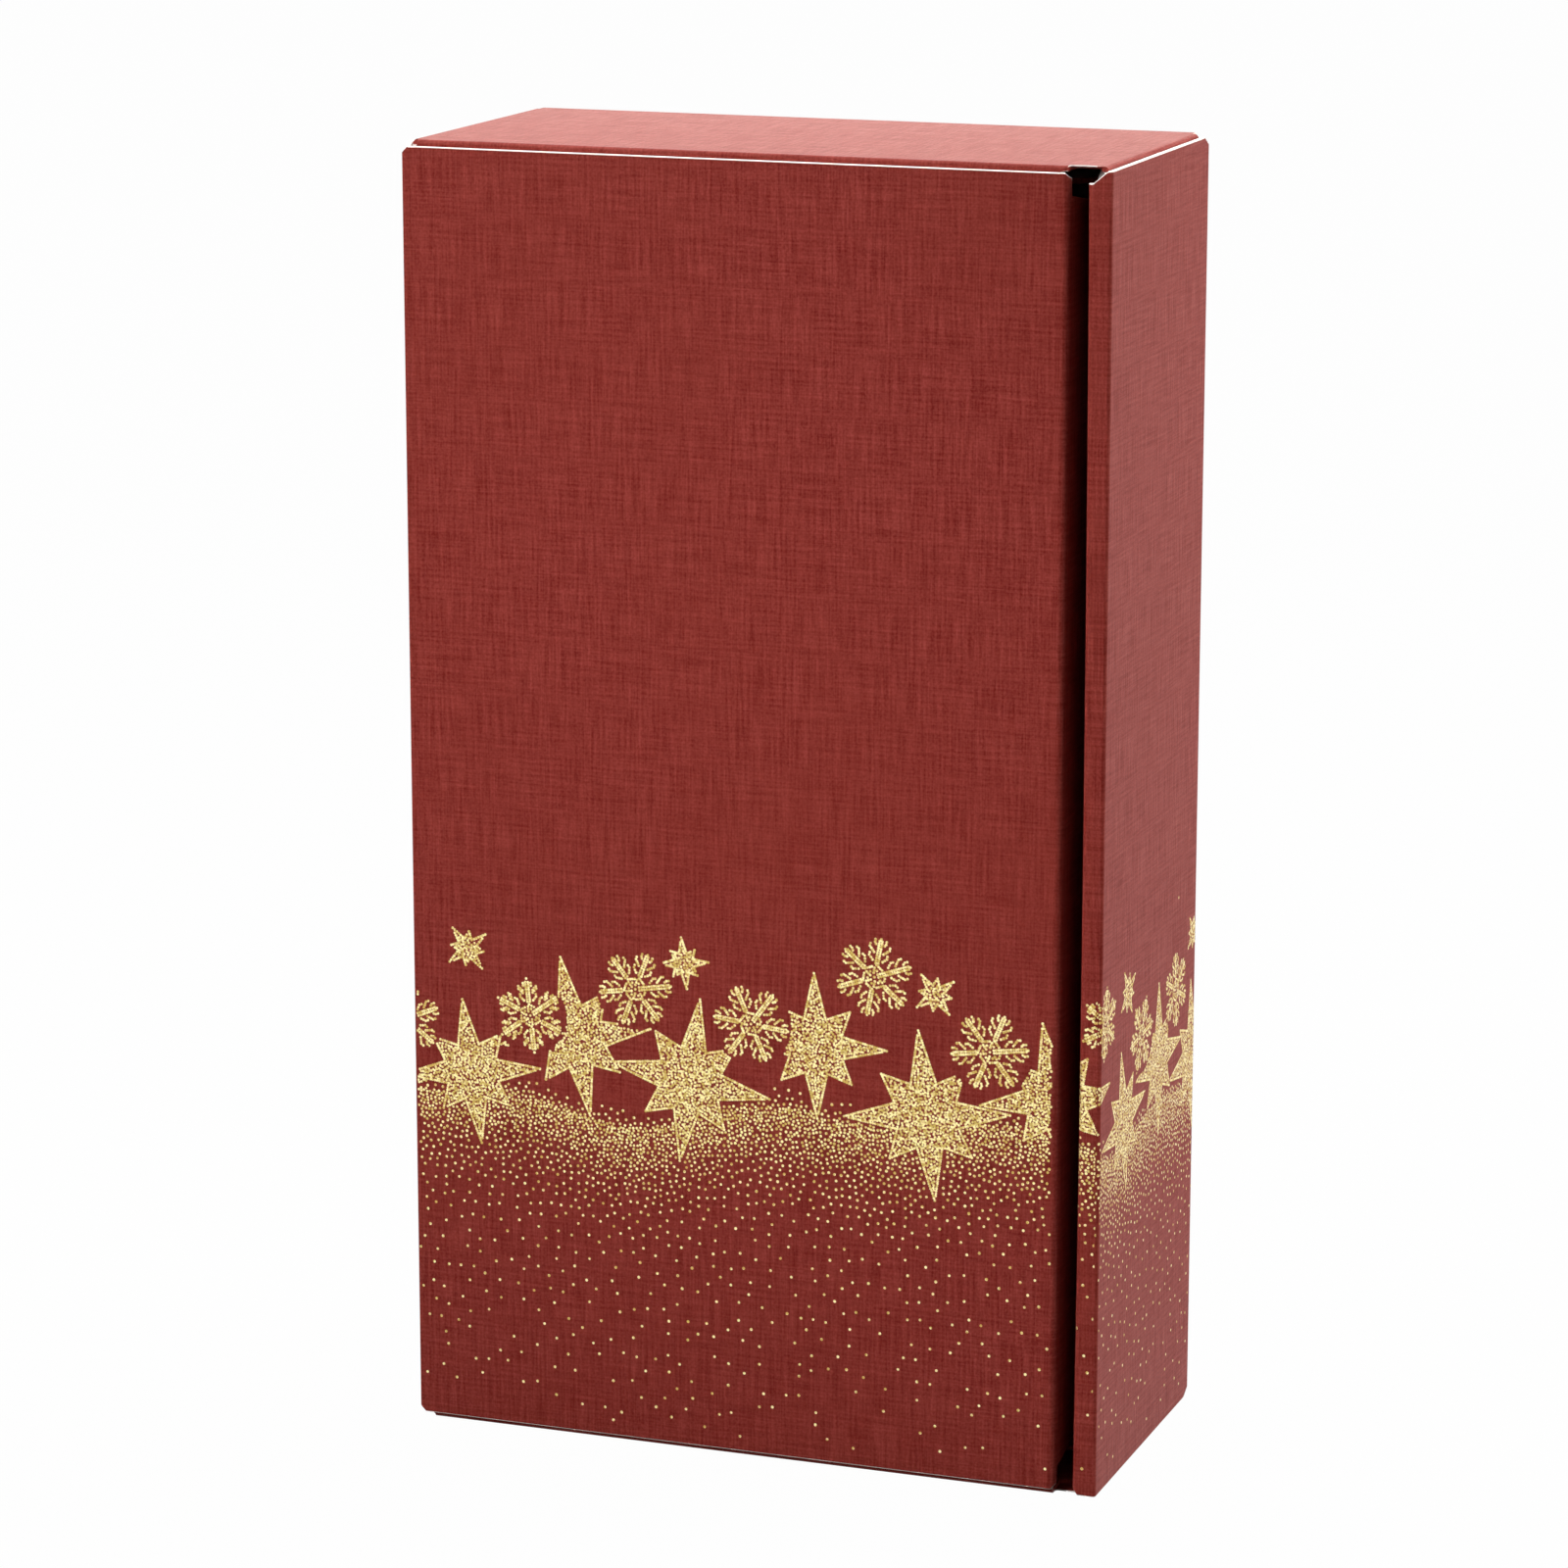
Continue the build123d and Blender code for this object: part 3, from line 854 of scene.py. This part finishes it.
# The divider
def divider_foot(side):
    web = DIVIDER_LEFT if side < 0 else DIVIDER_RIGHT
    tip, root = web + side * FOOT_LENGTH, web + side * FOOT_FOLD
    level = DIVIDER_BACK + FOOT_FOLD

    def bite(x, y):
        return max(0.0, FOOT_CORNER - abs(x - tip))

    if side < 0:
        pairs = flat((tip, level), (root - LEAD, level), [FOOT_CORNER])
    else:
        pairs = flat((root + LEAD, level), (tip, level), [FOOT_LENGTH - FOOT_FOLD - LEAD - FOOT_CORNER])
    name = ("left" if side < 0 else "right") + "_foot"
    return name, folded_sheet("divider_" + name + "_board", pairs, lambda x, y: DIVIDER_END + bite(x, y),
                              lambda x, y: HEIGHT - DIVIDER_END - bite(x, y), free=(side < 0, side > 0),
                              faces=(LINER, LINER, CORE))


def divider():
    """Both feet, both webs and the strip between the webs, by name."""
    front_turn = DIVIDER_FACE + DIVIDER_FOLD
    left_turn, right_turn = DIVIDER_LEFT + DIVIDER_FOLD, DIVIDER_RIGHT - DIVIDER_FOLD
    left_root, right_root = DIVIDER_LEFT - FOOT_FOLD, DIVIDER_RIGHT + FOOT_FOLD
    level = DIVIDER_BACK + FOOT_FOLD
    left_web = section(
        flat((left_root - LEAD, level), (left_root, level)),
        crease((left_root, DIVIDER_BACK), FOOT_FOLD, 90, 0),
        flat((DIVIDER_LEFT, DIVIDER_BACK), (DIVIDER_LEFT, front_turn)),
        crease((left_turn, front_turn), DIVIDER_FOLD, 180, 270),
        flat((left_turn, DIVIDER_FACE), (left_turn + LEAD, DIVIDER_FACE)))
    strip = flat((left_turn + LEAD, DIVIDER_FACE), (right_turn - LEAD, DIVIDER_FACE))
    right_web = section(
        flat((right_turn - LEAD, DIVIDER_FACE), (right_turn, DIVIDER_FACE)),
        crease((right_turn, front_turn), DIVIDER_FOLD, 270, 360),
        flat((DIVIDER_RIGHT, front_turn), (DIVIDER_RIGHT, DIVIDER_BACK)),
        crease((right_root, DIVIDER_BACK), FOOT_FOLD, 180, 90),
        flat((right_root, level), (right_root + LEAD, level)))
    made = dict([divider_foot(-1), divider_foot(1)])
    for name, pairs in (("left_web", left_web), ("front_strip", strip), ("right_web", right_web)):
        made[name] = folded_sheet("divider_" + name + "_board", pairs, constant(DIVIDER_END),
                                  constant(HEIGHT - DIVIDER_END), faces=(LINER, LINER, CORE))
    return made


for name, piece in divider().items():
    panel(piece, "divider_" + name, "tray")


# Gold print: a band of dotted stars and snow crystals that dissolve downwards into a thinning drift.
# It is laid out on the unfolded blank, where place is the distance round the box from the middle of
# the lid, so that it runs over the folds.
PRINT_SEED = 41
DOT_HEIGHT = 0.025
FINEST_SPACING = 0.73
PRINT_TOP = 170.0
PRINT_LOW = 6.0
DOT_SIDES = 7
DOT_RADIUS = 0.425
DRIFT_DOT_RADIUS = 0.44
NO_DOTS = 99.0
STAR_PITCH = 33.0
STAR_LEVEL = 108.5
SWELL = 4.0
DRIFT_LEVEL = 100
BEAD_CLEARANCE = 0.6
WIDEST_CLEARANCE = 3.5
TRIES_PER_SQUARE_MM = 10
CRYSTAL_CLEARING = 1.05
CRYSTAL_BRANCHES = ((0.36, 0.27), (0.56, 0.30), (0.76, 0.17))  # root and reach, as parts of the radius
PRINT_ROLL_START = 215  # degrees round the roll's turn
PRINT_LID_START, PRINT_LID_END = LEFT + 1.0, TUCK_CREASE[0] + 0.2
PRINT_RIGHT_END = RIGHT_INNER + DEPTH
PRINT_BACK_END = PRINT_RIGHT_END + WIDTH - 3.0


def print_path():
    """Outer face of the tray in section, from the roll's edge round the right, back and left sides."""
    return section(
        crease((ROLL_TURN, STRIP_BACK), ROLL_FOLD, PRINT_ROLL_START, 270),
        flat((ROLL_TURN, STRIP_FACE), (FOLD_RIGHT, STRIP_FACE)),
        sharp_crease((RIGHT, STRIP_FACE), SHARP_FOLD, 270, 360),
        flat((RIGHT, STRIP_FACE + BOARD + CRUSH), (RIGHT, FOLD_BACK)),
        crease((FOLD_RIGHT, FOLD_BACK), WALL_FOLD, 0, 90),
        flat((FOLD_RIGHT, BACK), (-FOLD_RIGHT, BACK)),
        crease((-FOLD_RIGHT, FOLD_BACK), WALL_FOLD, 90, 180),
        flat((LEFT, FOLD_BACK), (LEFT, LID_INSIDE + 0.5)))


def lid_path():
    return flat((PRINT_LID_START, FRONT), (PRINT_LID_END, FRONT))


def path_table(pairs):
    """Points and outward directions along a path, with the distance to each."""
    points = np.array([tuple(p) for p, q in pairs])
    away = np.array([tuple(n) for n in outward(pairs)])
    steps = np.hypot(*np.diff(points, axis=0).T)
    return np.concatenate([[0.0], np.cumsum(steps)]), points, away


def line_of_dots(start, end, spacing=FINEST_SPACING):
    """Evenly spaced spots from start to end."""
    count = max(1, round(math.dist(start, end) / spacing))
    return [(start[0] + (end[0] - start[0]) * i / count, start[1] + (end[1] - start[1]) * i / count)
            for i in range(count + 1)]


def crystal(radius):
    """Snow crystal in beaded lines: six doubled arms, each with three pairs of branches, and a hexagon."""
    spots = [(0.0, 0.0)]
    hexagon = 0.30 * radius
    for arm in range(6):
        turn = math.radians(60 * arm)

        def place(along, aside):
            return rotated(along, aside, turn)

        for aside in (-0.4, 0.4):
            spots += line_of_dots(place(1.2, aside), place(0.9 * radius, aside))
        spots += line_of_dots(place(0.9 * radius, 0), place(radius, 0))
        spots += line_of_dots(place(hexagon, 0), rotated(hexagon, 0, turn + math.pi / 3))
        for root, reach in CRYSTAL_BRANCHES:
            for side in (-1, 1):
                for offset in (0.0, 0.72):
                    base = root * radius + offset
                    tip = (base + reach * radius * 0.55, side * reach * radius * 0.83)
                    spots += line_of_dots(place(base, side * 0.9), place(*tip))
    return spots


STAR_POINTS = (1.0, 0.40, 0.70, 0.40) * 4  # long point, hollow, short point, hollow, four times round
STAR_STEP = 2 * math.pi / len(STAR_POINTS)


def star_edge(turn):
    """Distance of a star's straight-sided outline from its middle, in the direction turn."""
    reach = np.array(STAR_POINTS + STAR_POINTS[:1])
    turn = np.asarray(turn) % (2 * math.pi)
    side = np.minimum((turn / STAR_STEP).astype(int), len(STAR_POINTS) - 1)
    past = turn - side * STAR_STEP
    near, far = reach[side], reach[side + 1]
    return near * far * math.sin(STAR_STEP) / (near * np.sin(past) + far * np.sin(STAR_STEP - past))


def star(radius):
    """Beaded outline of a star."""
    corners = [(radius * r * math.cos(k * STAR_STEP), radius * r * math.sin(k * STAR_STEP))
               for k, r in enumerate(STAR_POINTS)]
    spots = []
    for start, end in zip(corners, corners[1:] + corners[:1]):
        spots += line_of_dots(start, end)[:-1]
    return spots


def motifs(around):
    """An uneven row of large stars with crystals between them, as (kind, place, height, radius, turn)."""
    drawn = np.random.default_rng(PRINT_SEED)
    placed = []
    count = int(around / STAR_PITCH)
    pitch = around / count
    for i in range(count):
        place = LEFT - 2.0 + (i + 0.5) * pitch + drawn.uniform(-2.5, 2.5)
        swell = SWELL * math.cos(4 * math.pi * place / around)
        height = STAR_LEVEL + swell + (9.0 if i % 2 else -3.0) + drawn.uniform(-2, 2)
        placed.append(("star", place, height, drawn.uniform(20.5, 25.0), drawn.uniform(-0.2, 0.2)))
        placed.append(("crystal", place + pitch / 2 + drawn.uniform(-1, 1), height + drawn.uniform(15, 24),
                       drawn.uniform(9.5, 12.0), drawn.uniform(0, math.pi / 3)))
        if i % 2 == 0:
            placed.append(("star", place + drawn.uniform(-3, 3), height + drawn.uniform(33, 38),
                           drawn.uniform(6.0, 7.5), drawn.uniform(0, math.pi / 4)))
    return placed


def dot_spacing(place, height, around, row):
    """Wanted distance between dots, in mm: the thinning drift, the stars' filling, and clear crystals."""
    drift = DRIFT_LEVEL + 4 * np.sin(place / 31) + 3 * np.sin(place / 12 + 1.3)
    below = drift - height
    spacing = np.where(below > 0, 0.86 + 0.022 * below + 0.0017 * below ** 2, NO_DOTS)
    spacing = np.where((below <= 0) & (below > -6), 0.8 + 0.3 * np.clip(-below, 0, 12), spacing)
    for kind, middle, level, radius, turn in sorted(row, key=lambda m: m[0], reverse=True):
        x = (place - middle + around / 2) % around - around / 2
        y = height - level
        near = (np.abs(x) < radius * 1.1) & (np.abs(y) < radius * 1.1)
        reach = np.hypot(x[near], y[near]) / radius
        if kind == "crystal":
            spacing[near] = np.where(reach < CRYSTAL_CLEARING, NO_DOTS, spacing[near])
            continue
        inside = reach < star_edge(np.arctan2(y[near], x[near]) - turn)
        spacing[near] = np.minimum(spacing[near], np.where(inside, FINEST_SPACING, NO_DOTS))
    return spacing


def stipple(around):
    """Place, height and radius of every dot on the blank. Each keeps its distance from the others."""
    drawn = np.random.default_rng(PRINT_SEED + 1)
    row = motifs(around)
    dots = []
    taken = {}

    def lay(s, z, gap, clear):
        """Add a dot where none is nearer than clear."""
        column, line = math.floor(s), math.floor(z)
        reach = int(clear) + 1
        for a in range(column - reach, column + reach + 1):
            for b in range(line - reach, line + reach + 1):
                for other in taken.get((a, b), ()):
                    if (other[0] - s) ** 2 + (other[1] - z) ** 2 < clear * clear:
                        return
        taken.setdefault((column, line), []).append((s, z))
        dots.append((s, z, gap))

    crystals = [m[1:4] for m in row if m[0] == "crystal"]

    def within_crystal(s, z):
        for middle, level, radius in crystals:
            away = (s - middle + around / 2) % around - around / 2
            if math.hypot(away, z - level) < radius * CRYSTAL_CLEARING:
                return True
        return False

    for kind, middle, level, radius, turn in sorted(row, key=lambda m: m[0]):
        for x, y in (star if kind == "star" else crystal)(radius):
            x, y = rotated(x, y, turn)
            s, z = middle + x, level + y
            if kind == "star" and within_crystal(s, z):
                continue
            lay((s - LEFT) % around + LEFT, z, FINEST_SPACING, BEAD_CLEARANCE)
    count = int(around * (PRINT_TOP - PRINT_LOW) * TRIES_PER_SQUARE_MM)
    place = drawn.uniform(LEFT, around + LEFT, count)
    height = drawn.uniform(PRINT_LOW, PRINT_TOP, count)
    spacing = dot_spacing(place, height, around, row)
    kept = drawn.uniform(0, 1, count) < (FINEST_SPACING / spacing) ** 2
    for s, z, gap in zip(place[kept].tolist(), height[kept].tolist(), spacing[kept].tolist()):
        lay(s, z, gap, min(gap * 0.86, WIDEST_CLEARANCE))
    dots = np.array(dots)
    size = np.where(dots[:, 2] < 1.0, DOT_RADIUS, DRIFT_DOT_RADIUS) * drawn.uniform(0.92, 1.07, len(dots))
    return dots[:, 0], dots[:, 1], size


def dot_tree():
    """Geometry nodes that set a shallow round dot on every point, facing the way its point says."""
    tree = bpy.data.node_groups.new("gold_dots", "GeometryNodeTree")
    tree.interface.new_socket("Geometry", in_out="INPUT", socket_type="NodeSocketGeometry")
    tree.interface.new_socket("Dot height", in_out="INPUT", socket_type="NodeSocketFloat")
    tree.interface.new_socket("Dot sides", in_out="INPUT", socket_type="NodeSocketInt")
    tree.interface.new_socket("Geometry", in_out="OUTPUT", socket_type="NodeSocketGeometry")
    given = tree.nodes.new("NodeGroupInput")
    facing = add(tree, "GeometryNodeInputNamedAttribute", {"data_type": "FLOAT_VECTOR"}, Name="facing")
    size = add(tree, "GeometryNodeInputNamedAttribute", {"data_type": "FLOAT"}, Name="dot_size")
    aligned = add(tree, "FunctionNodeAlignRotationToVector", {"axis": "Z"},
                  Vector=facing.outputs["Attribute"])
    dot = add(tree, "GeometryNodeMeshCone", {"fill_type": "NGON"}, Vertices=given.outputs["Dot sides"],
              Radius_Top=0.0, Radius_Bottom=1.0, Depth=given.outputs["Dot height"])
    scale = add(tree, "ShaderNodeCombineXYZ", X=size.outputs["Attribute"], Y=size.outputs["Attribute"], Z=1.0)
    spread_dots = add(tree, "GeometryNodeInstanceOnPoints", Points=given.outputs["Geometry"],
                      Instance=dot.outputs["Mesh"], Rotation=aligned.outputs["Rotation"],
                      Scale=scale.outputs["Vector"])
    real = add(tree, "GeometryNodeRealizeInstances", Geometry=spread_dots.outputs["Instances"])
    finished = add(tree, "GeometryNodeSetMaterial", Geometry=real.outputs["Geometry"], Material=GOLD)
    output = tree.nodes.new("NodeGroupOutput")
    tree.links.new(finished.outputs["Geometry"], output.inputs["Geometry"])
    return tree


def printed_dots(name, tree, table, start, place, height, size, low, high, warp=None):
    """One panel's dots, from place low to high. start is the place where its path begins."""
    along, points, away = table
    chosen = (place >= low) & (place < high)
    s, z, radius = place[chosen] - start, height[chosen], size[chosen]
    x = np.interp(s, along, points[:, 0])
    y = np.interp(s, along, points[:, 1])
    facing = np.stack([np.interp(s, along, away[:, 0]), np.interp(s, along, away[:, 1]), np.zeros(len(s))], 1)
    facing /= np.linalg.norm(facing, axis=1, keepdims=True)
    centre = np.stack([x, y, z], 1)
    if warp:
        centre = np.array([warp(*c) for c in centre])
    centre -= facing * PRINT_RISE
    data = bpy.data.meshes.new(name)
    data.from_pydata((centre * MM).tolist(), [], [])
    data.attributes.new("facing", "FLOAT_VECTOR", "POINT").data.foreach_set("vector", facing.ravel())
    data.attributes.new("dot_size", "FLOAT", "POINT").data.foreach_set("value", radius * MM)
    piece = new_object(name, data)
    scatter = piece.modifiers.new("dots", "NODES")
    scatter.node_group = tree
    inputs = {item.name: item.identifier for item in tree.interface.items_tree if item.in_out == "INPUT"}
    scatter[inputs["Dot height"]] = DOT_HEIGHT * MM
    scatter[inputs["Dot sides"]] = DOT_SIDES
    settle(piece, 30)
    for vertex in piece.data.vertices:
        vertex.co = [min(max(value, least), most) for value, least, most in zip(vertex.co, *cad_box)]
    return piece


def gold_print():
    tray = path_table(print_path())
    lid_table = path_table(lid_path())
    tray_end = RIGHT_INNER + tray[0][-1]
    place, height, size = stipple(tray[0][-1] + RIGHT_INNER - LEFT)
    tree = dot_tree()
    pieces = [("gold_print_lid", lid_table, PRINT_LID_START, PRINT_LID_START, PRINT_LID_END, "lid", None),
              ("gold_print_right", tray, RIGHT_INNER, RIGHT_INNER, PRINT_RIGHT_END, "tray", strip_bow_only),
              ("gold_print_back", tray, RIGHT_INNER, PRINT_RIGHT_END, PRINT_BACK_END, "tray", None),
              ("gold_print_left", tray, RIGHT_INNER, PRINT_BACK_END, tray_end, "tray", None)]
    for name, table, start, low, high, body, warp in pieces:
        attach(printed_dots(name, tree, table, start, place, height, size, low, high, warp), body)


def strip_bow_only(x, y, z):
    """The bow where the roll is, and nothing on the right side."""
    return strip_bow(x, y, z) if y < STRIP_FACE + WALL_FOLD and x < FOLD_RIGHT else (x, y, z)


gold_print()


# Camera, floor and light
def camera():
    data = bpy.data.cameras.new("camera")
    data.lens = 125.2
    data.sensor_width = 36.0
    view = new_object("camera", data)
    view.location = (0.51256, -1.42085, 0.53176)
    view.rotation_euler = [math.radians(a) for a in (77.1078, -0.0126, 20.0931)]
    bpy.context.scene.camera = view


def backdrop_rays(tree):
    """1 for rays that see the background straight, in gloss or through glass."""
    rays = add(tree, "ShaderNodeLightPath").outputs
    seen = math_node(tree, "MAXIMUM", rays["Is Camera Ray"], rays["Is Glossy Ray"])
    return math_node(tree, "MAXIMUM", seen, rays["Is Transmission Ray"])


def floor():
    material, tree = new_material("pale_floor")
    speck = noise(tree, object_place(tree), (40, 40, 40), 3.0)
    tone = blend_colours(tree, spread(tree, speck, 0.3, 0.7), (0.3, 0.3, 0.3, 1), (0.32, 0.32, 0.318, 1))
    matt = add(tree, "ShaderNodeBsdfDiffuse", Color=tone).outputs["BSDF"]
    glow = add(tree, "ShaderNodeEmission", Color=(1, 1, 1, 1), Strength=1.0).outputs["Emission"]
    share = product(tree, backdrop_rays(tree), 0.985)
    mixed = add(tree, "ShaderNodeMixShader", i0=share, i1=matt, i2=glow).outputs["Shader"]
    finish_material(tree, mixed)
    reach = 6.0
    data = bpy.data.meshes.new("floor")
    data.from_pydata([(-reach, -reach, 0), (reach, -reach, 0), (reach, reach, 0), (-reach, reach, 0)], [],
                     [(0, 1, 2, 3)])
    data.materials.append(material)
    new_object("floor", data)


def world():
    surround = bpy.data.worlds.new("studio")
    surround.use_nodes = True
    tree = surround.node_tree
    tree.nodes.clear()
    seen = add(tree, "ShaderNodeBackground", Color=(1, 1, 1, 1), Strength=1.0).outputs["Background"]
    fill = add(tree, "ShaderNodeBackground", Color=(1, 0.99, 0.97, 1), Strength=0.07).outputs["Background"]
    mixed = add(tree, "ShaderNodeMixShader", i0=backdrop_rays(tree), i1=fill, i2=seen).outputs["Shader"]
    output = tree.nodes.new("ShaderNodeOutputWorld")
    tree.links.new(mixed, output.inputs["Surface"])
    bpy.context.scene.world = surround


def softbox(name, place, target, size, power, colour=(1.0, 1.0, 1.0), spread_angle=180.0):
    data = bpy.data.lights.new(name, "AREA")
    data.shape = "RECTANGLE"
    data.size, data.size_y = size
    data.energy = power
    data.color = colour
    data.spread = math.radians(spread_angle)
    lamp = new_object(name, data)
    lamp.location = place
    lamp.rotation_euler = (Vector(target) - Vector(place)).to_track_quat("-Z", "Y").to_euler()


camera()
floor()
world()
softbox("key_softbox", (-0.75, -1.15, 1.0), (0, 0, 0.2), (0.7, 0.7), 14.2)
softbox("key_accent", (-0.75, -1.15, 1.0), (0.02, 0, 0.21), (0.45, 0.45), 0.345, spread_angle=20.0)
softbox("top_softbox", (-0.1, 0.32, 1.35), (0, 0.1, 0.3), (1.0, 0.65), 18.0)
softbox("right_softbox", (1.2, 0.45, 0.7), (0, 0, 0.15), (0.5, 0.9), 18.0, (1.0, 0.975, 0.93))
softbox("back_softbox", (-0.4, 1.3, 0.66), (0, 0, 0.37), (0.9, 0.35), 2.2, (1.0, 0.93, 0.83))
bpy.context.scene.view_settings.view_transform = "Standard"
